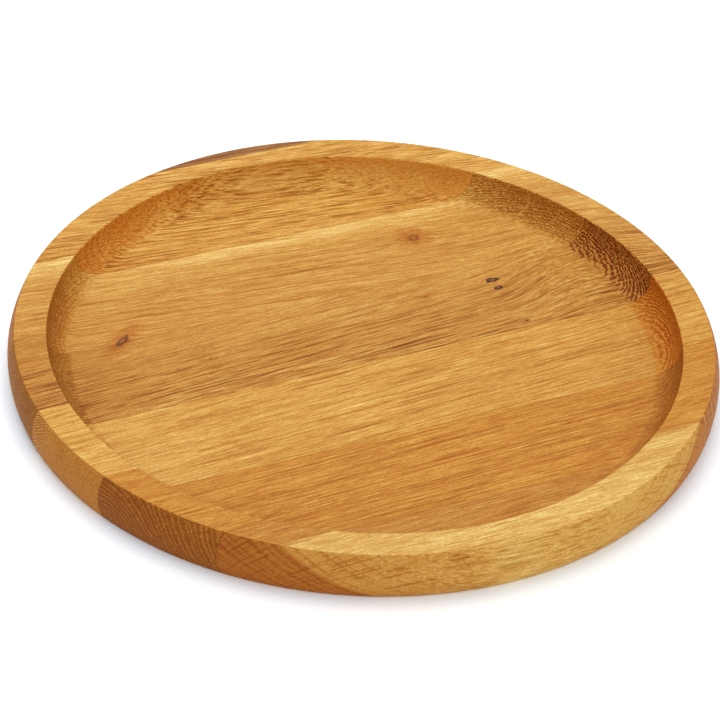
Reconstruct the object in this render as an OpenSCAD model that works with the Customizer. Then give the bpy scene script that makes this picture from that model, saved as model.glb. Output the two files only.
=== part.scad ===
// Round oak steak board: seven staves glued side by side, turned as one disc with a shallow recess.
// The grain runs along X, the staves lie side by side along Y, and the underside rests on Z = 0.

/* [Board] */
// Widest diameter of the board, half way up its outer wall
board_d = 280; // [260:1:400]
// Thickness of the board at the rim
board_t = 20; // [17:0.5:30]
// How far the outer wall bulges past its top and bottom edges
wall_bulge = 2.4; // [1:0.1:4]
// How far the top edge of the outer wall is broken by a small chamfer
top_chamfer = 0.5; // [0.2:0.1:2]
// How far the bottom edge of the outer wall is broken by a small chamfer
base_chamfer = 0.8; // [0.2:0.1:2]

/* [Recess] */
// Flat width of the rim, from the outer wall's top edge to the mouth of the recess
rim_w = 12.9; // [8:0.1:20]
// Depth of the recess floor below the rim
recess_depth = 12.4; // [11:0.1:14.5]
// Radius of the cove that joins the recess wall to the floor
cove_r = 10; // [5:0.5:11.5]
// How far the mouth of the recess is broken by a small chamfer
mouth_chamfer = 0.4; // [0.2:0.1:0.8]

/* [Staves] */
// Width left of the stave that the back edge of the board cuts through
back_edge_stave_w = 7.6; // [4:0.1:12]
// Width of the stave in front of it
back_stave_w = 43.8; // [36:0.1:50]
// Width left of the stave that the front edge of the board cuts through
front_edge_stave_w = 44.2; // [30:0.1:50]
// How much wider the two staves behind the front edge's one are than the two in the middle
front_stave_extra = 0.7; // [0:0.1:3]

/* [Hidden] */
$fn = 180;

// Outer wall: one arc from the bottom edge through the bulge to the top edge
board_r = board_d / 2;
wall_r = (pow(board_t / 2, 2) + pow(wall_bulge, 2)) / (2 * wall_bulge);
wall_centre = [board_r - wall_r, board_t / 2];
top_edge_r = board_r - wall_bulge;

// Recess: flat floor, quarter-round cove and a short upright wall
mouth_r = top_edge_r - rim_w;
floor_z = board_t - recess_depth;
cove_centre = [mouth_r - cove_r, floor_z + cove_r];

// Cutting shapes reach this far past what they cut
over = 1;

// Four staves share the width that the back and edge staves leave
shared_w = board_d - back_edge_stave_w - back_stave_w - front_edge_stave_w;
middle_stave_w = (shared_w - 2 * front_stave_extra) / 4;
front_stave_w = middle_stave_w + front_stave_extra;

// Seams between the staves, from the back edge's to the front edge's
seam_y = [
    board_r - back_edge_stave_w,
    board_r - back_edge_stave_w - back_stave_w,
    front_edge_stave_w - board_r + 2 * front_stave_w + middle_stave_w,
    front_edge_stave_w - board_r + 2 * front_stave_w,
    front_edge_stave_w - board_r + front_stave_w,
    front_edge_stave_w - board_r
];

// Distance from the axis to the outer wall at a height
function outer_wall_at(z) = wall_centre[0] + sqrt(pow(wall_r, 2) - pow(z - wall_centre[1], 2));

// Cuts a corner off a section along the line through two points, on the side of a third
module chamfered(p, q, outside) {
    difference() {
        children();
        polygon([2 * p - q, 2 * q - p, outside]);
    }
}

// Half section of the disc before the recess is cut
module blank_section() {
    intersection() {
        square([board_r + over, board_t]);
        union() {
            square([wall_centre[0], board_t]);
            translate(wall_centre) circle(wall_r);
        }
    }
}

// Half section of what is cut out for the recess
module recess_section() {
    translate(cove_centre) circle(cove_r);
    translate([0, floor_z]) square([cove_centre[0], recess_depth + over]);
    translate([0, cove_centre[1]]) square([mouth_r, recess_depth - cove_r + over]);
}

// Half section of the finished board, with its three edges broken
module board_section() {
    top = [[top_edge_r - top_chamfer, board_t], [outer_wall_at(board_t - top_chamfer), board_t - top_chamfer]];
    base = [[top_edge_r - base_chamfer, 0], [outer_wall_at(base_chamfer), base_chamfer]];
    mouth = [[mouth_r + mouth_chamfer, board_t], [mouth_r, board_t - mouth_chamfer]];
    chamfered(top[0], top[1], [board_r + over, board_t + over])
        chamfered(base[0], base[1], [board_r + over, -over])
            chamfered(mouth[0], mouth[1], [mouth_r - over, board_t + over])
                difference() {
                    blank_section();
                    recess_section();
                }
}

// The part of the turned board that lies between two heights across it
module stave(front_y, back_y) {
    intersection() {
        rotate_extrude() board_section();
        translate([-board_d, front_y, -over]) cube([2 * board_d, back_y - front_y, board_t + 2 * over]);
    }
}

// Dark sliver that the back edge leaves of its stave
module back_edge_stave() {
    color("#9c6034") stave(seam_y[0], board_r + over);
}

module back_stave() {
    color("#d79c4d") stave(seam_y[1], seam_y[0]);
}

module back_middle_stave() {
    color("#d2994e") stave(seam_y[2], seam_y[1]);
}

module middle_stave() {
    color("#c89048") stave(seam_y[3], seam_y[2]);
}

module front_middle_stave() {
    color("#d8a050") stave(seam_y[4], seam_y[3]);
}

module front_stave() {
    color("#cb8c40") stave(seam_y[5], seam_y[4]);
}

// Stave with the pale sapwood, cut through by the front edge
module front_edge_stave() {
    color("#dcab5c") stave(-board_r - over, seam_y[5]);
}

back_edge_stave();
back_stave();
back_middle_stave();
middle_stave();
front_middle_stave();
front_stave();
front_edge_stave();
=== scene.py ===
# Dresses the round steak board: seven oak staves with their grain, rays, knots and sapwood, oiled and
# sanded smooth, on a plain white stage. Lengths are metres, but the patterns inside the wood are worked out
# in millimetres.

import math

import bmesh
import bpy
from bpy.props import (
    CollectionProperty, FloatProperty, FloatVectorProperty, IntProperty, PointerProperty,
    StringProperty,
)
from mathutils import Matrix, Vector


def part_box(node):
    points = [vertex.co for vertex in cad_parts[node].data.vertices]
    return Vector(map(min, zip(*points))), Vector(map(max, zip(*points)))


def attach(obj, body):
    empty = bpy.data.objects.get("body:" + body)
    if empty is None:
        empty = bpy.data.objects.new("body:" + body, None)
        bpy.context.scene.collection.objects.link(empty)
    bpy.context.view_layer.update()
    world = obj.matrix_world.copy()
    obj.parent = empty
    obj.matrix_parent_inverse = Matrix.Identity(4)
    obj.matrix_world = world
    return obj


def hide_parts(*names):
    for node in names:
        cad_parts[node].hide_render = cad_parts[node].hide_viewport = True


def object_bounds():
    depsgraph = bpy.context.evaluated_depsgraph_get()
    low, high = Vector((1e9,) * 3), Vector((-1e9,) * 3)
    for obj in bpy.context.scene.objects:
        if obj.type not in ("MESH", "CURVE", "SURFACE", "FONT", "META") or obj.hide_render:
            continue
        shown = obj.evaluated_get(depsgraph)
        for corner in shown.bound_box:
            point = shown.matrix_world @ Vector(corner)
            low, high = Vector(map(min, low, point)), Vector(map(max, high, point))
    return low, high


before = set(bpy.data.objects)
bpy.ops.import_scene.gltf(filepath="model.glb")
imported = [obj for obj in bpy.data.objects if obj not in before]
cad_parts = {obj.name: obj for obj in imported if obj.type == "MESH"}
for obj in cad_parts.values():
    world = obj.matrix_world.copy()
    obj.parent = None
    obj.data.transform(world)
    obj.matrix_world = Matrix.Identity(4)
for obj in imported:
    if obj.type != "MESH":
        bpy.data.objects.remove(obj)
cad_low, cad_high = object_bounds()

bl_info = {
    "name": "Oak Steak Board",
    "version": (1, 0, 0),
    "blender": (4, 5, 0),
    "location": "3D View > Sidebar > Steak Board",
    "description": "Turns and finishes the staves of a round oak steak board",
    "category": "Object",
}

# Where each stave was cut from its log and how its wood looks, from the back edge to the front one. A heart
# lies (across the board, above the underside), in metres. Tones and depths tell how dark the oil makes the
# wood, and pairs are for the left and the right end, or for the front and the back seam.
STAVE_FINISHES = {
    "back_edge_stave": {
        "slot": "dark_oak", "wood": (0.36, 0.15, 0.044), "heart": (0.150, -0.045), "ring_width": 0.0022,
        "streaks": (0.5, 0.5),
    },
    "back_stave": {
        "slot": "golden_oak", "wood": (0.735, 0.390, 0.080),
        "heart": (0.049, -0.059), "lean": (-0.105, -0.03), "ring_width": 0.0013, "wander": 0.006,
        "end_tones": (0.03, -0.40), "front_tone": 0.18, "streaks": (0.80, 0.65),
        "left_end": (0.84, 0.57, 0.25), "right_end": (0.93, 0.80, 0.60), "end_rings": (0.45, 0.5),
        "end_weave": (0.9, 0.5), "end_cover": 0.5, "end_rough": 1.2, "end_rays": 0.9, "end_fade": 0.30,
        "rays_from": 0.55,
    },
    "back_middle_stave": {
        "slot": "straw_oak", "wood": (0.65, 0.32, 0.060),
        "heart": (0.052, -0.085), "lean": (-0.085, 0.01), "ring_width": 0.0009,
        "end_tones": (0.0, -0.12), "back_tone": -0.45, "streaks": (0.40, 0.25),
        "left_end": (0.68, 0.50, 0.26), "right_end": (0.69, 0.52, 0.30), "end_rings": (0.5, 1.0),
        "end_weave": (0.7, 0.8), "end_rough": 1.6, "end_fade": 0.50, "rays_from": 0.66,
    },
    "middle_stave": {
        "slot": "brown_oak", "wood": (0.61, 0.29, 0.053),
        "heart": (0.032, -0.066), "lean": (0.060, 0.02), "ring_width": 0.0010,
        "end_tones": (0.17, 0.0), "streaks": (1.15, 0.2),
        "left_end": (0.63, 0.52, 0.17), "right_end": (0.55, 0.35, 0.135), "end_rings": (0.4, 1.4),
        "end_weave": (0.5, 0.2), "end_rough": 1.6,
    },
    "front_middle_stave": {
        "slot": "pale_oak", "wood": (0.70, 0.36, 0.068),
        "heart": (-0.040, -0.044), "lean": (0.055, -0.01), "ring_width": 0.0010,
        "end_tones": (-0.14, 0.07), "streaks": (0.40, 0.40),
        "left_end": (0.72, 0.56, 0.37), "right_end": (0.72, 0.43, 0.09), "end_rings": (0.25, 0.85),
        "back_rings": 0.9, "end_weave": (0.35, 0.2), "end_rough": 0.9,
    },
    "front_stave": {
        "slot": "orange_oak", "wood": (0.625, 0.27, 0.036),
        "heart": (-0.047, -0.0035), "lean": (0.045, 0.0), "ring_width": 0.0017,
        "end_tones": (0.05, 0.02), "streaks": (0.35, 0.35),
        # The front stave's outer wall at the right end is brightened by painted light
        "left_end": (0.61, 0.48, 0.34), "right_end": (0.62, 0.47, 0.21), "painted_right_wall_light": (1.41, 1.64, 4.8),
        "end_rings": (0.6, 0.7), "end_weave": (0.25, 0.2), "end_cover": 0.72, "end_rough": 0.8,
    },
    "front_edge_stave": {
        "slot": "sapwood_oak", "wood": (0.575, 0.245, 0.039), "sap": (0.77, 0.47, 0.122),
        "sapwood_from": 0.0832, "heart": (-0.060, -0.050), "lean": (0.03, -0.03), "ring_width": 0.0024,
        "streaks": (0.20, 0.20),
        "left_end": (0.67, 0.43, 0.23), "right_end": (0.84, 0.66, 0.37), "end_rings": (0.65, 1.0),
        "end_weave": (0.15, 0.15), "end_cover": 0.12, "end_rays": -0.9, "rays_from": 0.59,
        "end_rough": 0.3,
    },
}

# The knots, from the left end to the right one, each at a place in the floor of the recess (along the grain,
# across the board), in metres
KNOTS = {
    "leaning_knot": {
        "place": (-0.0850, 0.0435), "size": 0.0013, "reach": 0.0062, "stretch": 3.2,
        "turn": math.radians(38.0), "dark": 0.9, "red": 1.0, "swirl": 0.0008, "bulge": 0.0010,
    },
    "red_spots": {
        "place": (0.0402, 0.0299), "size": 0.0006, "reach": 0.0045, "stretch": 1.6, "dark": 0.5,
        "red": 0.6, "swirl": 0.0006,
    },
    "red_swirl": {
        "place": (0.0528, 0.0695), "size": 0.0020, "reach": 0.0100, "stretch": 1.2, "dark": 0.5,
        "red": 1.2, "swirl": 0.0025, "bulge": 0.0020,
    },
    "back_eye": {
        "place": (0.0707, 0.0314), "size": 0.0013, "reach": 0.0040, "stretch": 2.1, "dark": 2.0,
        "red": 0.3, "swirl": 0.0012, "bulge": 0.0010,
    },
    "front_eye": {
        "place": (0.0709, 0.0261), "size": 0.0012, "reach": 0.0032, "stretch": 1.5, "dark": 2.0,
        "red": 0.3, "swirl": 0.0010,
    },
    "pin_knot": {
        "place": (0.0722, 0.0015), "size": 0.0005, "reach": 0.0016, "stretch": 1.4, "dark": 1.6,
        "red": 0.4, "swirl": 0.0005,
    },
    "rippled_grain": {
        "place": (0.1060, 0.0320), "size": 0.0001, "reach": 0.0440, "dark": 0.0, "red": 0.0,
        "swirl": 0.0005, "bulge": 0.0090, "ripple": 0.9,
    },
}

# Millimetres in a metre
MILLI = 1000.0

# How much red, green and blue a step of depth leaves, in the wood, in the open pores and in a knot
WOOD_STAIN = (0.62, 0.38, 0.17)
PORE_STAIN = (0.61, 0.44, 0.24)
KNOT_STAIN = (0.38, 0.33, 0.52)

# What the warmer patches of the wood and the wood round a knot leave of its colour, and the strength of both
WARM_TINT = (0.98, 0.78, 0.70, 1.0)
WARM_SHARE = 0.20
KNOT_RED_SHARE = 0.6
KNOT_RED_DEPTH = 0.4

# Patterns along the grain: the length, width and height of their lumps in millimetres, their detail, and how
# far they swing the wood's depth
GRAIN_PATTERNS = {
    "broad": ((120.0, 12.0, 12.0), 1.0, 0.4),
    "band": ((60.0, 1.8, 1.8), 1.0, 0.35),
    "fibre": ((26.0, 0.8, 0.8), 1.0, 0.9),
    "hair": ((7.0, 0.45, 0.45), 1.0, 1.3),
    "speck": ((1.2, 0.6, 0.6), 0.0, 0.6),
}

# Lumps of the wood's other patterns, in millimetres. Rays are measured along the grain, round the heart and
# outwards from it.
PORE_LUMPS = (12.0, 0.6, 0.6)
STREAK_LUMPS = (50.0, 0.8, 0.8)
RAY_LUMPS = (14.0, 0.4, 60.0)
RAGGED_LUMPS = (5.0, 0.7, 0.7)
WEAVE_LUMPS = (3.0, 0.7, 0.7)
WARM_LUMPS = (60.0, 5.0, 5.0)

# Levels of their noise between which pores, streaks, warm patches and rays come to full strength. The rays'
# levels count from each stave's own one.
PORE_LEVELS = (0.54, 0.70)
STREAK_LEVELS = (0.53, 0.70)
WARM_LEVELS = (0.35, 0.70)
RAY_LEVELS = (0.0, 0.12)

# Years on the long grain: how far their tone and their early wood swing its depth
YEAR_TONE = 0.12
EARLY_DEPTH = 0.06

# Depth of the open pores and of the dark streaks, and the share of the pores that lies outside the early wood
PORE_DEPTH = 1.6
STREAK_DEPTH = 1.3
STRAY_PORES = 0.4

# Share of the long grain's pores and swings that the end grain still shows
END_PORES = 0.3
END_GRAIN = 0.4

# How far below the rim, in millimetres, a worn edge keeps the rim's colour, and where the end grain shows
WORN_EDGE = (0.04, 0.14)

# How far a face turns to the end where its pores begin to close, and where it is all end grain
END_TURN = (0.04, 0.50)

# The same for the painted light on the outer wall at the right end, for the dark parts of the years, which
# start as thin gaps, for the painted shade that darkens the steeper end grain, which goes from the first
# factor to the second, and where the end grain's stain starts
PAINTED_LIGHT_WALL_TURN = (0.0, 0.5)
COVER_TURN = (0.02, 0.45)
COVER_START = -0.35
PAINTED_SHADE_TURN = (0.25, 1.0)
PAINTED_SHADE = (0.8, 1.25)
FADE_START = 0.01

# Half the stretch in the board's middle, in millimetres, where the left end's look turns into the right one's
MIDDLE_REACH = 30.0

# End grain: half the softness of the years' edges, how far their open parts lie under the mean depth, the
# step from those to the dark parts, the swing of the specks, what a ray takes from it, and the least depth
RING_SOFTNESS = 0.22
OPEN_RING = 0.65
RING_STEP = 1.35
WEAVE_SWING = 4.0
RAY_WEAVE = 0.5
LEAST_DEPTH = 0.15

# How far from their seam the tones and the stronger rings reach, in metres, and between which distances from
# the board's middle the end tones come in, in millimetres
TONE_REACH = 0.018
BACK_RINGS_REACH = 0.014
END_TONE_RUN = (60.0, 120.0)

# Glue line: where it is full and where it ends, in metres from the seam, and its depth
GLUE_WIDTH = (0.00005, 0.00035)
GLUE_DEPTH = 0.35

# Half the width, in millimetres, over which heartwood turns into sapwood
SAP_BLEND = 0.8

# Growth rings: lumps of their broad bend, lumps and depth of the two finer ones, the spacing of good and bad
# years with how many years they shift the rings by, and the least radius that the rays are measured at
BEND_LUMPS = (120.0, 40.0, 40.0)
CRINKLE = ((12.0, 4.0, 4.0), 0.8)
SQUIGGLE = ((3.0, 1.2, 1.2), 0.9)
YEAR_SWING = (7.0, 2.5)
RAY_RADIUS = 60.0

# Slant of the rings in a face, from flat rings that show no lines to upright ones
RING_SLANT = (0.55, 0.98)

# Parts of a year over which its early wood sets in, and over which it ends
EARLY_RISE = (0.0, 0.08)
EARLY_FALL = (0.10, 0.55)

# Knots: the share of a height that counts in the distance from their middle, lumps of their edge, of the
# stray fibres and of the ripples, the paler heart of their core with how dark it is, and the core's soft
# edge, both in shares of its size
KNOT_HEIGHT_SHARE = 0.25
KNOT_EDGE_LUMPS = (3.0, 1.2, 3.0)
STRAY_LUMPS = (6.0, 4.0, 6.0)
RIPPLE_LUMPS = (3.0, 0.9, 3.0)
CORE_HEART = (0.25, 0.70)
CORE_HEART_DEPTH = 0.35
CORE_EDGE = (0.85, 1.25)

# Oil on the wood: its refraction, its gloss, its roughness, and what fibres, pores and end grain add to that
OIL_IOR = 1.45
OIL_GLOSS = 0.15
OIL_ROUGHNESS = 0.44
FIBRE_ROUGHNESS = 0.10
PORE_ROUGHNESS = 0.10
END_ROUGHNESS = 0.08

# Relief: the depth of a full step in metres, its strength, and the steps of fibres, pores, streaks and years
RELIEF_DEPTH = 0.0003
RELIEF_STRENGTH = 0.4
FIBRE_RELIEF = 0.4
PORE_RELIEF = -0.6
STREAK_RELIEF = -0.4
RING_RELIEF = -0.6

# A seam closer than this to the board's own edge is the edge itself
SEAM_CLEARANCE = 0.001

# Steps round the board and along the arcs of its section
TURN_STEPS = 360
COVE_STEPS = 12
WALL_STEPS = 14
EASE_STEPS = 3

# A flat face keeps its own shading up to this far from its edges
FLAT_MARGIN = 0.0003

# How close points are merged, how exactly a seam is cut, and the angle past which an edge is sharp
MERGE_DISTANCE = 1e-6
CUT_TOLERANCE = 1e-7
SHARP_ANGLE = math.radians(45.0)

# Half the width of the floor
FLOOR_REACH = 6.0

# Floor's colour in the room's light, and the brighter ones that the camera or a gloss sees: a cool one
# close round the board, painted to cancel the warm light that the wood throws on the floor, and a plain one
# beyond it
FLOOR_WHITE = (0.92, 0.92, 0.92, 1.0)
PAINTED_COOL_BY_BOARD = (1.17, 1.31, 1.43, 1.0)
FLOOR_SEEN = (1.29, 1.31, 1.33, 1.0)

# How far from the board's wall the painted cool tint reaches, as far as the warm light from the wood
WARM_REACH = 0.009

# Places and widths of the lamps, and the camera's sensor width in millimetres
KEY_LAMP = ((0.08, 0.435, 1.15), 1.2)
FILL_LAMP = ((-0.37, -1.16, 0.44), 0.8)
SENSOR_WIDTH = 36.0

# Kinds of sockets
NUMBER, COLOR, VECTOR = "NodeSocketFloat", "NodeSocketColor", "NodeSocketVector"


class BoardShape(bpy.types.PropertyGroup):
    """Sizes of the turned board that the staves share"""

    wall_bulge: FloatProperty(
        name="Wall bulge", description="How far the outer wall swells past its top and bottom edges",
        default=0.0024, unit="LENGTH",
    )
    rim_width: FloatProperty(
        name="Rim width", description="Flat rim between the outer wall's top edge and the recess",
        default=0.0129, unit="LENGTH",
    )
    recess_depth: FloatProperty(
        name="Recess depth", description="Depth of the recess floor below the rim",
        default=0.0124, unit="LENGTH",
    )
    cove_radius: FloatProperty(
        name="Cove radius", description="Radius of the cove between the recess wall and its floor",
        default=0.010, unit="LENGTH",
    )
    edge_ease: FloatProperty(
        name="Edge ease", description="Radius that sanding leaves on the upper edges",
        default=0.0006, unit="LENGTH",
    )
    base_ease: FloatProperty(
        name="Base ease", description="Radius of the bottom edge",
        default=0.0010, unit="LENGTH",
    )


class StaveFinish(bpy.types.PropertyGroup):
    """Where one stave was cut from its log, and how its wood looks"""

    slot: StringProperty(
        name="Material slot", description="Slot of the record that the stave takes its finish from",
        default="",
    )
    wood: FloatVectorProperty(
        name="Wood", description="Colour of the oiled heartwood",
        default=(0.62, 0.29, 0.06), size=3, subtype="COLOR",
    )
    sap: FloatVectorProperty(
        name="Sapwood", description="Colour of the oiled sapwood",
        default=(0.72, 0.40, 0.11), size=3, subtype="COLOR",
    )
    sapwood_from: FloatProperty(
        name="Sapwood from",
        description="Distance from the log's heart at which the sapwood starts",
        default=1.0, unit="LENGTH",
    )
    heart: FloatVectorProperty(
        name="Heart of the log",
        description="Where the log's heart lies, across the board and above its underside",
        default=(0.0, -0.05), size=2, subtype="XYZ", unit="LENGTH",
    )
    lean: FloatVectorProperty(
        name="Lean of the log",
        description="Drift of the heart along the grain, across the board and upwards",
        default=(0.0, 0.0), size=2, subtype="XYZ",
    )
    ring_width: FloatProperty(
        name="Ring width", description="Mean width of a year's growth",
        default=0.002, unit="LENGTH",
    )
    wander: FloatProperty(
        name="Wander", description="How far the rings wander from a true cylinder",
        default=0.003, unit="LENGTH",
    )
    end_tones: FloatVectorProperty(
        name="End tones",
        description="Depth added to the wood towards the left end and towards the right end",
        default=(0.0, 0.0), size=2, subtype="XYZ",
    )
    front_tone: FloatProperty(
        name="Front tone", description="Depth added to the wood along the stave's front seam",
        default=0.0,
    )
    back_tone: FloatProperty(
        name="Back tone", description="Depth added to the wood along the stave's back seam",
        default=0.0,
    )
    streaks: FloatVectorProperty(
        name="Streaks",
        description="Strength of the dark pore streaks at the front seam and at the back seam",
        default=(0.4, 0.4), size=2, subtype="XYZ",
    )
    left_end: FloatVectorProperty(
        name="Left end", description="Tint of the end grain at the left end",
        default=(0.6, 0.4, 0.2), size=3, subtype="COLOR",
    )
    right_end: FloatVectorProperty(
        name="Right end", description="Tint of the end grain at the right end",
        default=(0.6, 0.4, 0.2), size=3, subtype="COLOR",
    )
    # Painted light: how much brighter the outer wall at the right end is made, by colour
    painted_right_wall_light: FloatVectorProperty(
        name="Painted right wall light",
        description="How much paler the right end is on the outer wall than in the recess, by colour",
        default=(1.0, 1.0, 1.0), size=3, subtype="COLOR",
    )
    end_rings: FloatVectorProperty(
        name="End rings",
        description="Contrast of the year lines on the end grain, at the left and the right end",
        default=(0.8, 0.8), size=2, subtype="XYZ",
    )
    end_cover: FloatProperty(
        name="End cover",
        description="Share of the end grain that the dark parts of the years cover",
        default=0.6, subtype="FACTOR",
    )
    end_rough: FloatProperty(
        name="End roughness", description="How ragged the years' edges are on the end grain",
        default=1.0,
    )
    end_rays: FloatProperty(
        name="End rays",
        description="How pale the rays are on the end grain, below zero for dark ones",
        default=0.35,
    )
    end_fade: FloatProperty(
        name="End fade",
        description="How far a face turns to the end before its end grain is at full strength",
        default=0.14,
    )
    back_rings: FloatProperty(
        name="Back rings", description="Contrast added to the left end's rings along the back seam",
        default=0.0,
    )
    rays_from: FloatProperty(
        name="Rays from", description="Level of their noise from which rays show: a lower one gives more",
        default=0.62,
    )
    end_weave: FloatVectorProperty(
        name="End weave", description="Strength of the fine specks on the end grain, left and right",
        default=(0.3, 0.3), size=2, subtype="XYZ",
    )


class Knot(bpy.types.PropertyGroup):
    """A knot or a patch of wild grain in the floor of the recess"""

    place: FloatVectorProperty(
        name="Place", description="Where it lies, along the grain and across the board",
        default=(0.0, 0.0), size=2, subtype="XYZ", unit="LENGTH",
    )
    size: FloatProperty(name="Size", description="Radius of its dark core", default=0.001, unit="LENGTH")
    reach: FloatProperty(
        name="Reach", description="Radius of the reddish wood and the bent fibres round it",
        default=0.005, unit="LENGTH",
    )
    stretch: FloatProperty(name="Stretch", description="How much longer it is than wide", default=1.0)
    turn: FloatProperty(
        name="Turn", description="Turn of its long side away from the grain", default=0.0, subtype="ANGLE",
    )
    dark: FloatProperty(name="Dark", description="Depth of its core", default=1.0)
    red: FloatProperty(name="Red", description="Strength of the reddish wood round it", default=0.5)
    swirl: FloatProperty(
        name="Swirl", description="How far the fibres round it stray", default=0.001, unit="LENGTH",
    )
    bulge: FloatProperty(
        name="Bulge", description="How far the fibres over it are pushed towards the back", default=0.0,
        unit="LENGTH",
    )
    ripple: FloatProperty(name="Ripple", description="Strength of the short ripples over it", default=0.0)


class BoardSettings(bpy.types.PropertyGroup):
    """Everything that a user would change on the board"""

    shape: PointerProperty(name="Shape", description="Sizes of the turned board", type=BoardShape)
    staves: CollectionProperty(name="Staves", description="Finish of each stave", type=StaveFinish)
    knots: CollectionProperty(name="Knots", description="Knots in the floor of the recess", type=Knot)
    picked_stave: IntProperty(name="Stave", description="Stave shown in the panel", default=0, min=0)


class StageSettings(bpy.types.PropertyGroup):
    """Camera and light"""

    camera_turn: FloatProperty(
        name="Camera turn", description="Camera's direction round the board, from the front",
        default=math.radians(-25.88), subtype="ANGLE",
    )
    camera_height: FloatProperty(
        name="Camera height", description="Camera's angle above the rim",
        default=math.radians(36.0), subtype="ANGLE",
    )
    camera_distance: FloatProperty(
        name="Camera distance", description="From the middle of the rim's plane to the camera",
        default=1.6512, unit="LENGTH",
    )
    camera_aim: FloatVectorProperty(
        name="Camera aim", description="Turn, tilt and roll of the camera off the board's middle",
        default=(0.0009, -0.0064, 0.0610), size=3, subtype="EULER",
    )
    focal_length: FloatProperty(
        name="Focal length", description="Focal length in millimetres on a 36 mm sensor",
        default=210.45,
    )
    key_power: FloatProperty(
        name="Key power", description="Power of the large lamp overhead, in watts", default=6.0,
    )
    fill_power: FloatProperty(
        name="Fill power", description="Power of the low lamp in front, in watts", default=1.6,
    )
    sky_strength: FloatProperty(
        name="Sky strength", description="Strength of the even light from all sides", default=0.70,
    )


class Graph:
    """Adds nodes to a node tree and plugs their inputs in as they are made"""

    def __init__(self, tree):
        self.tree = tree

    def node(self, kind, inputs=None, **settings):
        """A new node with these inputs and settings"""
        node = self.tree.nodes.new(kind)
        for name, value in settings.items():
            setattr(node, name, value)
        for name, value in (inputs or {}).items():
            self.plug(value, node.inputs[name])
        return node

    def plug(self, value, socket):
        """Links another node's socket to this one, or sets this one to a plain value"""
        if isinstance(value, bpy.types.NodeSocket):
            self.tree.links.new(value, socket)
        else:
            socket.default_value = value

    def math(self, operation, *values, clamp=False):
        """The result of a sum with one or two values"""
        node = self.node("ShaderNodeMath", dict(enumerate(values)), operation=operation, use_clamp=clamp)
        return node.outputs[0]

    def scaled(self, vector, scale):
        """The vector with each of its parts multiplied by its own factor"""
        node = self.node("ShaderNodeVectorMath", {0: vector, 1: scale}, operation="MULTIPLY")
        return node.outputs[0]

    def split(self, vector):
        """The three parts of a vector"""
        return self.node("ShaderNodeSeparateXYZ", {0: vector}).outputs

    def joined(self, x, y, z):
        """A vector from its three parts"""
        return self.node("ShaderNodeCombineXYZ", {0: x, 1: y, 2: z}).outputs[0]

    def noise(self, vector, stretch, detail=2.0, output="Fac"):
        """Noise whose lumps are about as long, wide and high as stretch says"""
        place = self.scaled(vector, [1.0 / size for size in stretch])
        node = self.node("ShaderNodeTexNoise", {"Vector": place, "Scale": 1.0, "Detail": detail})
        return node.outputs[output]

    def ramp(self, value, low, high, to_low=0.0, to_high=1.0, smooth=True):
        """The value, moved from one range to another and held at its ends"""
        kind = "SMOOTHSTEP" if smooth else "LINEAR"
        node = self.node(
            "ShaderNodeMapRange",
            {"Value": value, "From Min": low, "From Max": high, "To Min": to_low, "To Max": to_high},
            interpolation_type=kind,
        )
        return node.outputs[0]

    def mix(self, amount, first, second, blend="MIX"):
        """The first colour with an amount of the second one blended in"""
        node = self.node("ShaderNodeMix", data_type="RGBA", blend_type=blend)
        self.plug(amount, node.inputs["Factor"])
        self.plug(first, node.inputs[6])
        self.plug(second, node.inputs[7])
        return node.outputs[2]

    def stained(self, color, stain, depth):
        """The colour under more of a stain, or under less where depth is below zero"""
        shades = self.split(stain) if isinstance(stain, bpy.types.NodeSocket) else stain
        parts = [self.math("POWER", shade, depth) for shade in shades]
        return self.mix(1.0, color, self.joined(*parts), "MULTIPLY")

    def off_mean(self, value, amount):
        """A noise's swing about its mean, as wide as amount"""
        return self.math("MULTIPLY", self.math("SUBTRACT", value, 0.5), amount)

    def along(self, value, run, slope):
        """The value, with a slope along the run taken out"""
        return self.math("SUBTRACT", value, self.math("MULTIPLY", run, slope))

    def total(self, *values):
        """The sum of any number of values"""
        result = values[0]
        for value in values[1:]:
            result = self.math("ADD", result, value)
        return result


def new_group(name, inputs, outputs):
    """A shader node group with named sockets, its graph, its inputs and the node that takes its outputs"""
    group = bpy.data.node_groups.new(name, "ShaderNodeTree")
    for label, kind, default in inputs:
        socket = group.interface.new_socket(name=label, in_out="INPUT", socket_type=kind)
        if default is not None:
            socket.default_value = default
    for label, kind in outputs:
        group.interface.new_socket(name=label, in_out="OUTPUT", socket_type=kind)
    graph = Graph(group)
    return group, graph, graph.node("NodeGroupInput").outputs, graph.node("NodeGroupOutput").inputs


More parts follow.
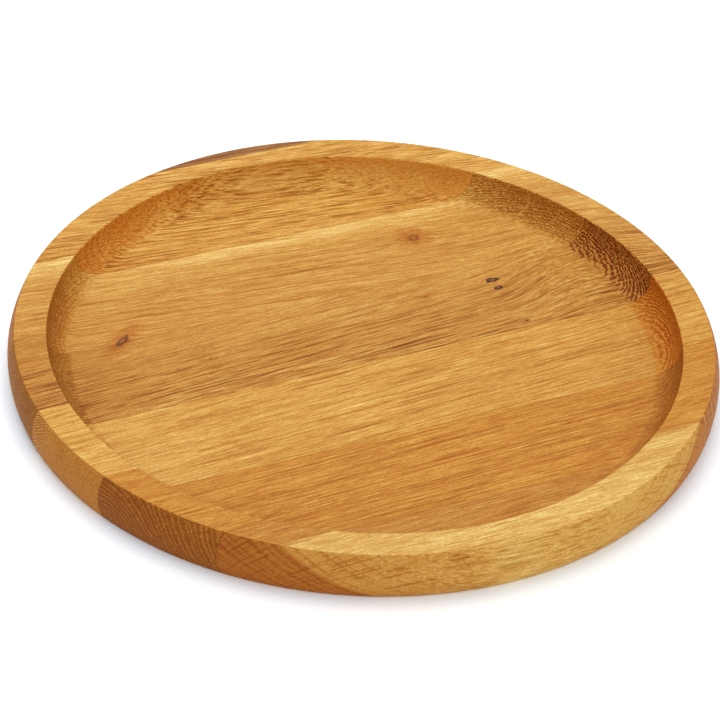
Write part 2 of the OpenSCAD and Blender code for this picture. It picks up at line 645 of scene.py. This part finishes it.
def knot_group():
    """A knot: fibres that part and stray round it, its dark core and the reddish wood about it"""
    group, g, given, out = new_group(
        "Knot",
        [
            ("Place", VECTOR, None),
            ("Centre", VECTOR, None),
            ("Size", NUMBER, 1.0),
            ("Reach", NUMBER, 5.0),
            ("Stretch", NUMBER, 1.0),
            ("Turn", NUMBER, 0.0),
            ("Swirl", NUMBER, 1.0),
            ("Bulge", NUMBER, 0.0),
        ],
        [
            ("Place", VECTOR),
            ("Core", NUMBER),
            ("Halo", NUMBER),
            ("Ripple", NUMBER),
        ],
    )
    away = g.node(
        "ShaderNodeVectorMath", {0: given["Place"], 1: given["Centre"]}, operation="SUBTRACT",
    ).outputs[0]
    turned = g.node(
        "ShaderNodeVectorRotate", {"Vector": away, "Angle": g.math("MULTIPLY", given["Turn"], -1.0)},
        rotation_type="Z_AXIS",
    )
    long, wide, high = g.split(turned.outputs[0])
    long = g.math("DIVIDE", long, given["Stretch"])
    high = g.math("MULTIPLY", high, KNOT_HEIGHT_SHARE)
    square = g.total(*[g.math("MULTIPLY", part, part) for part in (long, wide, high)])
    ragged = g.noise(given["Place"], KNOT_EDGE_LUMPS, 2.0)
    smooth = g.math("SQRT", square)
    far = g.math("MULTIPLY", smooth, g.math("ADD", ragged, 0.5))
    hill = g.ramp(g.math("DIVIDE", smooth, given["Reach"]), 0.0, 1.0, 1.0, 0.0)
    halo = g.ramp(g.math("DIVIDE", far, given["Reach"]), 0.0, 1.0, 1.0, 0.0)
    part = g.math("DIVIDE", far, given["Size"])
    core = g.math(
        "MULTIPLY", g.ramp(part, *CORE_HEART, CORE_HEART_DEPTH, 1.0), g.ramp(part, *CORE_EDGE, 1.0, 0.0),
    )
    room = g.math("MULTIPLY", given["Size"], given["Size"])
    parted = g.math("DIVIDE", room, g.math("ADD", square, room))
    stray = g.split(g.noise(given["Place"], STRAY_LUMPS, 1.0, "Color"))
    x, y, z = g.split(given["Place"])
    swing = g.math("MULTIPLY", hill, given["Swirl"])
    new_y = g.math("SUBTRACT", y, g.math("MULTIPLY", g.split(away)[1], parted))
    new_y = g.math("ADD", new_y, g.math("MULTIPLY", g.off_mean(stray[0], 2.0), swing))
    new_y = g.math("SUBTRACT", new_y, g.math("MULTIPLY", hill, given["Bulge"]))
    new_z = g.math("ADD", z, g.math("MULTIPLY", g.off_mean(stray[1], 2.0), swing))
    moved = g.joined(x, new_y, new_z)
    ripple = g.off_mean(g.noise(moved, RIPPLE_LUMPS, 1.0), 2.0)
    g.plug(moved, out["Place"])
    g.plug(core, out["Core"])
    g.plug(g.math("MULTIPLY", ripple, hill), out["Ripple"])
    g.plug(halo, out["Halo"])
    return group


def growth_rings_group():
    """Year rings round the log's heart: distance, season, tone, slant in the face, and the rays' place"""
    group, g, given, out = new_group(
        "Growth rings",
        [
            ("Place", VECTOR, None),
            ("Facing", VECTOR, None),
            ("Heart Across", NUMBER, 0.0),
            ("Heart Height", NUMBER, -50.0),
            ("Ring Width", NUMBER, 2.0),
            ("Wander", NUMBER, 3.0),
        ],
        [
            ("Distance", NUMBER),
            ("Season", NUMBER),
            ("Year Tone", NUMBER),
            ("Slant", NUMBER),
            ("Ray Place", VECTOR),
        ],
    )
    x, y, z = g.split(given["Place"])
    bend = g.split(g.noise(given["Place"], BEND_LUMPS, 1.0, "Color"))
    across = g.math("SUBTRACT", y, given["Heart Across"])
    across = g.math("ADD", across, g.math("MULTIPLY", g.off_mean(bend[0], 1.0), given["Wander"]))
    up = g.math("SUBTRACT", z, given["Heart Height"])
    up = g.math("ADD", up, g.math("MULTIPLY", g.off_mean(bend[1], 1.0), given["Wander"]))
    far = g.math("SQRT", g.math("ADD", g.math("MULTIPLY", across, across), g.math("MULTIPLY", up, up)))
    crinkle = g.noise(given["Place"], CRINKLE[0], 1.0)
    squiggle = g.noise(given["Place"], SQUIGGLE[0], 0.0)
    rough = g.total(far, g.off_mean(crinkle, CRINKLE[1]), g.off_mean(squiggle, SQUIGGLE[1]))
    spacing, shift = YEAR_SWING
    uneven = g.node(
        "ShaderNodeTexNoise", {"W": g.math("DIVIDE", far, spacing), "Scale": 1.0}, noise_dimensions="1D",
    )
    shifted = g.math("MULTIPLY", uneven.outputs[0], shift)
    years = g.math("ADD", g.math("DIVIDE", rough, given["Ring Width"]), shifted)
    year = g.math("FLOOR", years)
    tone = g.node("ShaderNodeTexWhiteNoise", {"W": year}, noise_dimensions="1D").outputs["Value"]
    side = g.split(given["Facing"])
    flat = g.math("ADD", g.math("MULTIPLY", side[1], across), g.math("MULTIPLY", side[2], up))
    flat = g.math("ABSOLUTE", g.math("DIVIDE", flat, far))
    turn = g.math("ARCTAN2", up, across)
    radius = g.math("MAXIMUM", RAY_RADIUS, g.math("MULTIPLY", given["Heart Height"], -1.0))
    g.plug(far, out["Distance"])
    g.plug(g.math("SUBTRACT", years, year), out["Season"])
    g.plug(tone, out["Year Tone"])
    g.plug(g.ramp(flat, *RING_SLANT, 1.0, 0.0), out["Slant"])
    g.plug(g.joined(x, g.math("MULTIPLY", turn, radius), far), out["Ray Place"])
    return group


def oak_group(rings):
    """Oiled oak: colour, roughness and relief from the rings, pores, rays, fibres, knots and seams, with
    painted light on the outer wall at the right end and painted shade on the steeper end grain
    """
    group, g, given, out = new_group(
        "Oiled oak",
        [
            ("Place", VECTOR, None),
            ("Facing", VECTOR, None),
            ("Heart Across", NUMBER, 0.0),
            ("Heart Height", NUMBER, -50.0),
            ("Ring Width", NUMBER, 2.0),
            ("Wander", NUMBER, 3.0),
            ("Across", NUMBER, 0.0),
            ("Wood", COLOR, (0.62, 0.29, 0.06, 1.0)),
            ("Sap", COLOR, (0.72, 0.40, 0.11, 1.0)),
            ("Sapwood From", NUMBER, 1000.0),
            ("Front Seam", NUMBER, -0.02),
            ("Back Seam", NUMBER, 0.02),
            ("Left Tone", NUMBER, 0.0),
            ("Right Tone", NUMBER, 0.0),
            ("Front Tone", NUMBER, 0.0),
            ("Back Tone", NUMBER, 0.0),
            ("Front Streaks", NUMBER, 0.4),
            ("Back Streaks", NUMBER, 0.4),
            ("Left End", COLOR, (0.6, 0.4, 0.2, 1.0)),
            ("Right End", COLOR, (0.6, 0.4, 0.2, 1.0)),
            ("Right Wall", COLOR, (1.0, 1.0, 1.0, 1.0)),
            ("Left Rings", NUMBER, 0.8),
            ("Right Rings", NUMBER, 0.8),
            ("End Cover", NUMBER, 0.6),
            ("End Rough", NUMBER, 1.0),
            ("End Rays", NUMBER, 0.35),
            ("Rays From", NUMBER, 0.62),
            ("Back Rings", NUMBER, 0.0),
            ("End Fade", NUMBER, 0.14),
            ("Below Top", NUMBER, 20.0),
            ("Left Weave", NUMBER, 0.3),
            ("Right Weave", NUMBER, 0.3),
            ("Knot Depth", NUMBER, 0.0),
            ("Knot Red", NUMBER, 0.0),
            ("Knot Ripple", NUMBER, 0.0),
        ],
        [
            ("Color", COLOR),
            ("Roughness", NUMBER),
            ("Relief", NUMBER),
        ],
    )
    place = given["Place"]
    x = g.split(place)[0]
    y, front_seam, back_seam = given["Across"], given["Front Seam"], given["Back Seam"]
    ring = g.node("ShaderNodeGroup", node_tree=rings)
    for socket in ring.inputs:
        g.plug(given[socket.name], socket)
    season = ring.outputs["Season"]
    slant = ring.outputs["Slant"]

    # How far the face turns towards either end of the board. The worn edges at the top keep the colour of
    # the rim.
    worn = g.ramp(given["Below Top"], *WORN_EDGE)
    facing_right = g.math("MULTIPLY", g.split(given["Facing"])[0], worn)
    facing_end = g.math("ABSOLUTE", facing_right)
    end = g.ramp(facing_end, *END_TURN)
    right = g.ramp(x, -MIDDLE_REACH, MIDDLE_REACH)

    # Fibres, pores and streaks along the grain
    noises = {name: g.noise(place, lumps, detail) for name, (lumps, detail, _) in GRAIN_PATTERNS.items()}
    fibre = noises["fibre"]
    early = g.math("MULTIPLY", g.ramp(season, *EARLY_RISE), g.ramp(season, *EARLY_FALL, 1.0, 0.0))
    line = g.math("MULTIPLY", early, slant)
    pore = g.ramp(g.noise(place, PORE_LUMPS, 0.0), *PORE_LEVELS)
    streak = g.ramp(g.noise(place, STREAK_LUMPS, 1.0), *STREAK_LEVELS)
    in_line = g.math("MULTIPLY", line, 1.0 - STRAY_PORES)
    porous = g.math("MULTIPLY", pore, g.math("ADD", in_line, STRAY_PORES))
    grain = g.total(
        *[g.off_mean(noises[name], swing) for name, (_, _, swing) in GRAIN_PATTERNS.items()],
        given["Knot Ripple"],
        g.math("MULTIPLY", g.off_mean(ring.outputs["Year Tone"], YEAR_TONE), slant),
        g.math("MULTIPLY", line, EARLY_DEPTH),
    )
    streaks = g.ramp(y, front_seam, back_seam, given["Front Streaks"], given["Back Streaks"])
    streak_depth = g.math("MULTIPLY", streak, STREAK_DEPTH)
    open_pores = g.math("ADD", g.math("MULTIPLY", porous, PORE_DEPTH), streak_depth)
    open_pores = g.math("MULTIPLY", open_pores, streaks)
    open_pores = g.math("MULTIPLY", open_pores, g.ramp(end, 0.0, 1.0, 1.0, END_PORES))

    # Dark and pale parts of the years on the end grain, with rays and specks across them. The dark parts
    # start as thin gaps at the foot of the cove.
    ray = g.noise(ring.outputs["Ray Place"], RAY_LUMPS, 0.0)
    ray = g.ramp(g.math("SUBTRACT", ray, given["Rays From"]), *RAY_LEVELS)
    pale = g.math("ABSOLUTE", g.off_mean(season, 2.0))
    ragged = g.math("MULTIPLY", g.off_mean(g.noise(place, RAGGED_LUMPS, 1.0), 1.0), given["End Rough"])
    pale = g.total(pale, ragged, g.math("MULTIPLY", ray, given["End Rays"]))
    cover = g.ramp(facing_end, *COVER_TURN, COVER_START, given["End Cover"])
    dark = g.ramp(g.math("SUBTRACT", pale, cover), -RING_SOFTNESS, RING_SOFTNESS, 1.0, 0.0)
    contrast = g.ramp(right, 0.0, 1.0, given["Left Rings"], given["Right Rings"])
    by_seam = g.ramp(y, g.math("SUBTRACT", back_seam, BACK_RINGS_REACH), back_seam, 0.0, given["Back Rings"])
    contrast = g.math("ADD", contrast, g.math("MULTIPLY", by_seam, g.math("SUBTRACT", 1.0, right)))
    swing = g.math("SUBTRACT", g.math("MULTIPLY", dark, RING_STEP), OPEN_RING)
    weave = g.off_mean(g.noise(place, WEAVE_LUMPS, 1.0), WEAVE_SWING)
    weave = g.math("SUBTRACT", weave, g.math("MULTIPLY", ray, RAY_WEAVE))
    weave = g.math("MULTIPLY", weave, g.ramp(right, 0.0, 1.0, given["Left Weave"], given["Right Weave"]))
    end_depth = g.total(1.0, g.math("MULTIPLY", contrast, swing), weave)
    end_depth = g.math("MAXIMUM", end_depth, LEAST_DEPTH)
    end_depth = g.math("MULTIPLY", end_depth, g.ramp(facing_end, FADE_START, given["End Fade"]))
    # Painted shade: the further a face turns to the end, the darker its end grain, so the upright top of the
    # cove and the end walls are darker
    end_depth = g.math("MULTIPLY", end_depth, g.ramp(facing_end, *PAINTED_SHADE_TURN, *PAINTED_SHADE))

    # The tone along the seams and towards the ends, and the glue line at the seams
    near, far = END_TONE_RUN
    tone = g.total(
        g.ramp(y, front_seam, g.math("ADD", front_seam, TONE_REACH), given["Front Tone"], 0.0),
        g.ramp(y, g.math("SUBTRACT", back_seam, TONE_REACH), back_seam, 0.0, given["Back Tone"]),
        g.ramp(x, -far, -near, given["Left Tone"], 0.0),
        g.ramp(x, near, far, 0.0, given["Right Tone"]),
    )
    gap = g.math("MINIMUM", g.math("SUBTRACT", y, front_seam), g.math("SUBTRACT", back_seam, y))
    glue = g.ramp(gap, *GLUE_WIDTH, GLUE_DEPTH, 0.0)

    # The wood's own colour, and on it the stain of its grain, its end grain, its pores and its knots
    depth = g.total(
        tone,
        g.math("MULTIPLY", given["Knot Red"], KNOT_RED_DEPTH),
        g.math("MULTIPLY", grain, g.ramp(end, 0.0, 1.0, 1.0, END_GRAIN)),
    )
    past_heart = g.math("SUBTRACT", ring.outputs["Distance"], given["Sapwood From"])
    wood = g.mix(g.ramp(past_heart, -SAP_BLEND, SAP_BLEND), given["Wood"], given["Sap"])
    warm = g.ramp(g.noise(place, WARM_LUMPS, 1.0), *WARM_LEVELS, 0.0, WARM_SHARE)
    red = g.math("ADD", g.math("MULTIPLY", given["Knot Red"], KNOT_RED_SHARE), warm, clamp=True)
    wood = g.mix(red, wood, g.mix(1.0, wood, WARM_TINT, "MULTIPLY"))
    wood = g.stained(wood, WOOD_STAIN, depth)
    wood = g.stained(wood, g.mix(right, given["Left End"], given["Right End"]), end_depth)
    # Painted light on the outer wall at the right end, which faces that way
    outer = g.math("MULTIPLY", g.ramp(facing_right, *PAINTED_LIGHT_WALL_TURN), right)
    wood = g.mix(outer, wood, g.mix(1.0, wood, given["Right Wall"], "MULTIPLY"))
    wood = g.stained(wood, PORE_STAIN, g.math("ADD", glue, open_pores))
    g.plug(g.stained(wood, KNOT_STAIN, given["Knot Depth"]), out["Color"])

    rough = g.total(
        OIL_ROUGHNESS,
        g.math("MULTIPLY", fibre, FIBRE_ROUGHNESS),
        g.math("MULTIPLY", porous, PORE_ROUGHNESS),
        g.math("MULTIPLY", end, END_ROUGHNESS),
    )
    g.plug(rough, out["Roughness"])
    relief = g.total(
        g.math("MULTIPLY", fibre, FIBRE_RELIEF),
        g.math("MULTIPLY", porous, PORE_RELIEF),
        g.math("MULTIPLY", streak, STREAK_RELIEF),
        g.math("MULTIPLY", g.math("MULTIPLY", dark, contrast), RING_RELIEF),
    )
    g.plug(relief, out["Relief"])
    return group


def oak_material(finish, knots, oak, knot):
    """Material of one stave, from its own place in the log and the knots that reach it"""
    low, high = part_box(finish.name)
    material = bpy.data.materials.new("Oiled " + finish.name.replace("_", " "))
    material.use_nodes = True
    material.node_tree.nodes.clear()
    g = Graph(material.node_tree)
    coords = g.node("ShaderNodeTexCoord")
    place = g.scaled(coords.outputs["Object"], (MILLI, MILLI, MILLI))
    floor = (cad_high.z - bpy.context.scene.steak_board.shape.recess_depth) * MILLI
    darks, reds, ripples = [0.0], [0.0], [0.0]
    for spot in knots:
        wide = spot.reach * spot.stretch
        if not low.y - wide < spot.place[1] < high.y + wide:
            continue
        shape = g.node("ShaderNodeGroup", {
            "Place": place,
            "Centre": (spot.place[0] * MILLI, spot.place[1] * MILLI, floor),
            "Size": spot.size * MILLI,
            "Reach": spot.reach * MILLI,
            "Stretch": spot.stretch,
            "Turn": spot.turn,
            "Swirl": spot.swirl * MILLI,
            "Bulge": spot.bulge * MILLI,
        }, node_tree=knot, label=spot.name)
        place = shape.outputs["Place"]
        darks.append(g.math("MULTIPLY", shape.outputs["Core"], spot.dark))
        reds.append(g.math("MULTIPLY", shape.outputs["Halo"], spot.red))
        ripples.append(g.math("MULTIPLY", shape.outputs["Ripple"], spot.ripple))
    x, y, z = g.split(place)
    _, seen_y, seen_z = g.split(coords.outputs["Object"])
    wood = g.node("ShaderNodeGroup", {
        "Place": g.joined(x, g.along(y, x, finish.lean[0]), g.along(z, x, finish.lean[1])),
        "Across": seen_y,
        "Facing": coords.outputs["Normal"],
        "Heart Across": finish.heart[0] * MILLI,
        "Heart Height": finish.heart[1] * MILLI,
        "Ring Width": finish.ring_width * MILLI,
        "Wander": finish.wander * MILLI,
        "Wood": (*finish.wood, 1.0),
        "Sap": (*finish.sap, 1.0),
        "Sapwood From": finish.sapwood_from * MILLI,
        "Front Seam": low.y,
        "Back Seam": high.y,
        "Left Tone": finish.end_tones[0],
        "Right Tone": finish.end_tones[1],
        "Front Tone": finish.front_tone,
        "Back Tone": finish.back_tone,
        "Front Streaks": finish.streaks[0],
        "Back Streaks": finish.streaks[1],
        "Left End": (*finish.left_end, 1.0),
        "Right End": (*finish.right_end, 1.0),
        "Right Wall": (*finish.painted_right_wall_light, 1.0),
        "Left Rings": finish.end_rings[0],
        "Right Rings": finish.end_rings[1],
        "End Cover": finish.end_cover,
        "End Rough": finish.end_rough,
        "End Rays": finish.end_rays,
        "Rays From": finish.rays_from,
        "Back Rings": finish.back_rings,
        "End Fade": finish.end_fade,
        "Below Top": g.math("MULTIPLY", g.math("SUBTRACT", cad_high.z, seen_z), MILLI),
        "Left Weave": finish.end_weave[0],
        "Right Weave": finish.end_weave[1],
        "Knot Depth": g.total(*darks),
        "Knot Red": g.total(*reds),
        "Knot Ripple": g.total(*ripples),
    }, node_tree=oak)
    bump = g.node("ShaderNodeBump", {
        "Height": wood.outputs["Relief"],
        "Strength": RELIEF_STRENGTH,
        "Distance": RELIEF_DEPTH,
    })
    shader = g.node("ShaderNodeBsdfPrincipled", {
        "Base Color": wood.outputs["Color"],
        "Roughness": wood.outputs["Roughness"],
        "Normal": bump.outputs["Normal"],
        "IOR": OIL_IOR,
        "Specular IOR Level": OIL_GLOSS,
    })
    g.node("ShaderNodeOutputMaterial", {"Surface": shader.outputs[0]})
    return material


def draw_line(section, start, radius, height):
    """Adds a straight edge to the half section and returns its far end"""
    end = section.verts.new((radius, 0.0, height))
    section.edges.new((start, end))
    return end


def draw_flat(section, start, radius, height):
    """Adds a straight run to the half section, with a short edge at both ends that keeps its shading flat"""
    begin, end = start.co.copy(), Vector((radius, 0.0, height))
    margin = (end - begin).normalized() * FLAT_MARGIN
    tip = start
    for place in (begin + margin, end - margin, end):
        tip = draw_line(section, tip, place.x, place.z)
    return tip


def draw_arc(section, start, centre, angle, steps):
    """Adds an arc about a centre to the half section and returns its far end. A positive angle turns left."""
    swept = bmesh.ops.spin(
        section, geom=[start], cent=(centre[0], 0.0, centre[1]), axis=(0.0, -1.0, 0.0),
        angle=angle, steps=steps, use_merge=False,
    )
    return next(part for part in swept["geom_last"] if isinstance(part, bmesh.types.BMVert))


def turned_board(shape):
    """The whole disc, turned from its half section"""
    widest = (cad_high.x - cad_low.x) / 2
    thick = cad_high.z - cad_low.z
    wall_radius = ((thick / 2) ** 2 + shape.wall_bulge ** 2) / (2 * shape.wall_bulge)
    wall_centre = (widest - wall_radius, thick / 2)
    mouth = widest - shape.wall_bulge - shape.rim_width
    floor = thick - shape.recess_depth
    top_angle = math.asin((thick / 2 - shape.edge_ease) / (wall_radius - shape.edge_ease))
    base_angle = math.asin((thick / 2 - shape.base_ease) / (wall_radius - shape.base_ease))
    top_reach = wall_centre[0] + (wall_radius - shape.edge_ease) * math.cos(top_angle)
    base_reach = wall_centre[0] + (wall_radius - shape.base_ease) * math.cos(base_angle)
    quarter = math.pi / 2

    board = bmesh.new()
    tip = board.verts.new((0.0, 0.0, 0.0))
    tip = draw_flat(board, tip, base_reach, 0.0)
    tip = draw_arc(board, tip, (base_reach, shape.base_ease), quarter - base_angle, EASE_STEPS)
    tip = draw_arc(board, tip, wall_centre, base_angle + top_angle, WALL_STEPS)
    tip = draw_arc(board, tip, (top_reach, thick - shape.edge_ease), quarter - top_angle, EASE_STEPS)
    tip = draw_flat(board, tip, mouth + shape.edge_ease, thick)
    tip = draw_arc(board, tip, (mouth + shape.edge_ease, thick - shape.edge_ease), quarter, EASE_STEPS)
    tip = draw_flat(board, tip, mouth, floor + shape.cove_radius)
    tip = draw_arc(board, tip, (mouth - shape.cove_radius, floor + shape.cove_radius), -quarter, COVE_STEPS)
    draw_flat(board, tip, 0.0, floor)
    bmesh.ops.spin(
        board, geom=board.verts[:] + board.edges[:], cent=(0.0, 0.0, 0.0), axis=(0.0, 0.0, 1.0),
        angle=2 * math.pi, steps=TURN_STEPS, use_merge=True,
    )
    bmesh.ops.remove_doubles(board, verts=board.verts, dist=MERGE_DISTANCE)
    bmesh.ops.recalc_face_normals(board, faces=board.faces)
    return board


def saw(board, seam, keep_back):
    """Cuts the board along a seam, keeps one side of it and closes the cut with a sharp-edged face"""
    cut = bmesh.ops.bisect_plane(
        board, geom=board.verts[:] + board.edges[:] + board.faces[:], dist=CUT_TOLERANCE,
        plane_co=(0.0, seam, 0.0), plane_no=(0.0, 1.0, 0.0), clear_inner=keep_back, clear_outer=not keep_back,
    )
    edges = [part for part in cut["geom_cut"] if isinstance(part, bmesh.types.BMEdge)]
    bmesh.ops.triangle_fill(board, edges=edges, use_beauty=True)
    for edge in edges:
        edge.smooth = False


def cut_stave(board, node):
    """One stave of the board as an object, between the seams that its CAD node gives"""
    low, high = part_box(node)
    stave = board.copy()
    if low.y > cad_low.y + SEAM_CLEARANCE:
        saw(stave, low.y, keep_back=True)
    if high.y < cad_high.y - SEAM_CLEARANCE:
        saw(stave, high.y, keep_back=False)
    bmesh.ops.recalc_face_normals(stave, faces=stave.faces)
    mesh = bpy.data.meshes.new("oiled_" + node)
    for face in stave.faces:
        face.smooth = True
    stave.to_mesh(mesh)
    stave.free()
    mesh.set_sharp_from_angle(angle=SHARP_ANGLE)
    piece = bpy.data.objects.new("oiled_" + node, mesh)
    bpy.context.scene.collection.objects.link(piece)
    return piece


class BOARD_OT_pick_finishes(bpy.types.Operator):
    """Fill in how each stave was cut and coloured, and its knots"""

    bl_idname = "steak_board.pick_finishes"
    bl_label = "Pick the Staves' Finishes"

    def execute(self, context):
        board = context.scene.steak_board
        for listed, known in ((board.staves, STAVE_FINISHES), (board.knots, KNOTS)):
            listed.clear()
            for name, values in known.items():
                entry = listed.add()
                entry.name = name
                for key, value in values.items():
                    setattr(entry, key, value)
        return {"FINISHED"}


class BOARD_OT_turn_staves(bpy.types.Operator):
    """Turn the board, saw it along its seams and finish each stave"""

    bl_idname = "steak_board.turn_staves"
    bl_label = "Turn the Staves"

    def execute(self, context):
        settings = context.scene.steak_board
        oak = oak_group(growth_rings_group())
        knot = knot_group()
        board = turned_board(settings.shape)
        for finish in settings.staves:
            piece = cut_stave(board, finish.name)
            piece.data.materials.append(oak_material(finish, settings.knots, oak, knot))
            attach(piece, "root")
            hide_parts(finish.name)
        board.free()
        return {"FINISHED"}


def stage_material(board_radius):
    """White floor that keeps the board's shadow and looks white to the camera, with a painted cool tint close
    round the board
    """
    material = bpy.data.materials.new("White floor")
    material.use_nodes = True
    material.node_tree.nodes.clear()
    g = Graph(material.node_tree)
    seen = g.node("ShaderNodeLightPath")
    direct = g.math("MAXIMUM", seen.outputs["Is Camera Ray"], seen.outputs["Is Glossy Ray"])
    place = g.node("ShaderNodeTexCoord").outputs["Object"]
    far = g.node("ShaderNodeVectorMath", {0: place}, operation="LENGTH").outputs["Value"]
    # Painted cool tint close round the board, against the warm light that the wood throws there
    beyond = g.ramp(far, board_radius, board_radius + WARM_REACH)
    white = g.mix(beyond, PAINTED_COOL_BY_BOARD, FLOOR_SEEN)
    paper = g.node("ShaderNodeBsdfDiffuse", {"Color": g.mix(direct, FLOOR_WHITE, white)})
    g.node("ShaderNodeOutputMaterial", {"Surface": paper.outputs[0]})
    return material


def add_lamp(name, place, size, power):
    """A round lamp that looks at the board's middle"""
    light = bpy.data.lights.new(name, "AREA")
    light.shape = "DISK"
    light.size = size
    light.energy = power
    lamp = bpy.data.objects.new(name, light)
    lamp.location = place
    lamp.rotation_euler = (-lamp.location).to_track_quat("-Z", "Y").to_euler()
    bpy.context.scene.collection.objects.link(lamp)


class BOARD_OT_set_stage(bpy.types.Operator):
    """Set the white floor, the soft lamps and the camera"""

    bl_idname = "steak_board.set_stage"
    bl_label = "Set the Stage"

    def execute(self, context):
        settings = context.scene.steak_board_stage
        scene = context.scene
        scene.view_settings.view_transform = "Standard"

        mesh = bpy.data.meshes.new("stage_floor")
        ground = bmesh.new()
        bmesh.ops.create_grid(ground, x_segments=1, y_segments=1, size=FLOOR_REACH)
        ground.to_mesh(mesh)
        ground.free()
        floor = bpy.data.objects.new("stage_floor", mesh)
        mesh.materials.append(stage_material(cad_high.x))
        scene.collection.objects.link(floor)

        world = bpy.data.worlds.new("Soft white room")
        world.use_nodes = True
        scene.world = world
        world.node_tree.nodes.clear()
        g = Graph(world.node_tree)
        seen = g.node("ShaderNodeLightPath")
        direct = g.math("MAXIMUM", seen.outputs["Is Camera Ray"], seen.outputs["Is Glossy Ray"])
        strength = g.ramp(direct, 0.0, 1.0, settings.sky_strength, 1.0, smooth=False)
        sky = g.node("ShaderNodeBackground", {"Color": (1.0, 1.0, 1.0, 1.0), "Strength": strength})
        g.node("ShaderNodeOutputWorld", {"Surface": sky.outputs[0]})

        add_lamp("key_lamp", *KEY_LAMP, settings.key_power)
        add_lamp("fill_lamp", *FILL_LAMP, settings.fill_power)

        lens = bpy.data.cameras.new("photo_camera")
        lens.lens = settings.focal_length
        lens.sensor_width = SENSOR_WIDTH
        camera = bpy.data.objects.new("photo_camera", lens)
        height = settings.camera_height
        back = Vector((0.0, -math.cos(height), math.sin(height)))
        upright = Matrix.Rotation(math.pi / 2 - height, 3, "X")
        turn, tilt, roll = settings.camera_aim
        aim = Matrix.Rotation(turn, 3, "Y") @ Matrix.Rotation(tilt, 3, "X") @ Matrix.Rotation(roll, 3, "Z")
        round_board = Matrix.Rotation(settings.camera_turn, 3, "Z")
        place = round_board @ (back * settings.camera_distance) + Vector((0.0, 0.0, cad_high.z))
        camera.matrix_world = Matrix.Translation(place) @ (round_board @ upright @ aim).to_4x4()
        scene.collection.objects.link(camera)
        scene.camera = camera
        return {"FINISHED"}


class BOARD_PT_panel(bpy.types.Panel):
    """Steak board's steps and sizes"""

    bl_idname = "BOARD_PT_panel"
    bl_label = "Steak Board"
    bl_space_type = "VIEW_3D"
    bl_region_type = "UI"
    bl_category = "Steak Board"

    def draw(self, context):
        board = context.scene.steak_board
        for step in (BOARD_OT_pick_finishes, BOARD_OT_turn_staves, BOARD_OT_set_stage):
            self.layout.operator(step.bl_idname)
        for name in BoardShape.__annotations__:
            self.layout.prop(board.shape, name)
        if board.picked_stave < len(board.staves):
            self.layout.prop(board, "picked_stave")
            stave = board.staves[board.picked_stave]
            for name in StaveFinish.__annotations__:
                self.layout.prop(stave, name)
        for spot in board.knots:
            self.layout.label(text=spot.name)
            for name in Knot.__annotations__:
                self.layout.prop(spot, name)
        for name in StageSettings.__annotations__:
            self.layout.prop(context.scene.steak_board_stage, name)


CLASSES = (
    BoardShape, StaveFinish, Knot, BoardSettings, StageSettings,
    BOARD_OT_pick_finishes, BOARD_OT_turn_staves, BOARD_OT_set_stage, BOARD_PT_panel,
)


def register():
    for cls in CLASSES:
        bpy.utils.register_class(cls)
    bpy.types.Scene.steak_board = PointerProperty(type=BoardSettings)
    bpy.types.Scene.steak_board_stage = PointerProperty(type=StageSettings)


def unregister():
    del bpy.types.Scene.steak_board_stage
    del bpy.types.Scene.steak_board
    for cls in reversed(CLASSES):
        bpy.utils.unregister_class(cls)


def main():
    register()
    bpy.ops.steak_board.pick_finishes()
    bpy.ops.steak_board.turn_staves()
    bpy.ops.steak_board.set_stage()


if __name__ == "__main__":
    main()
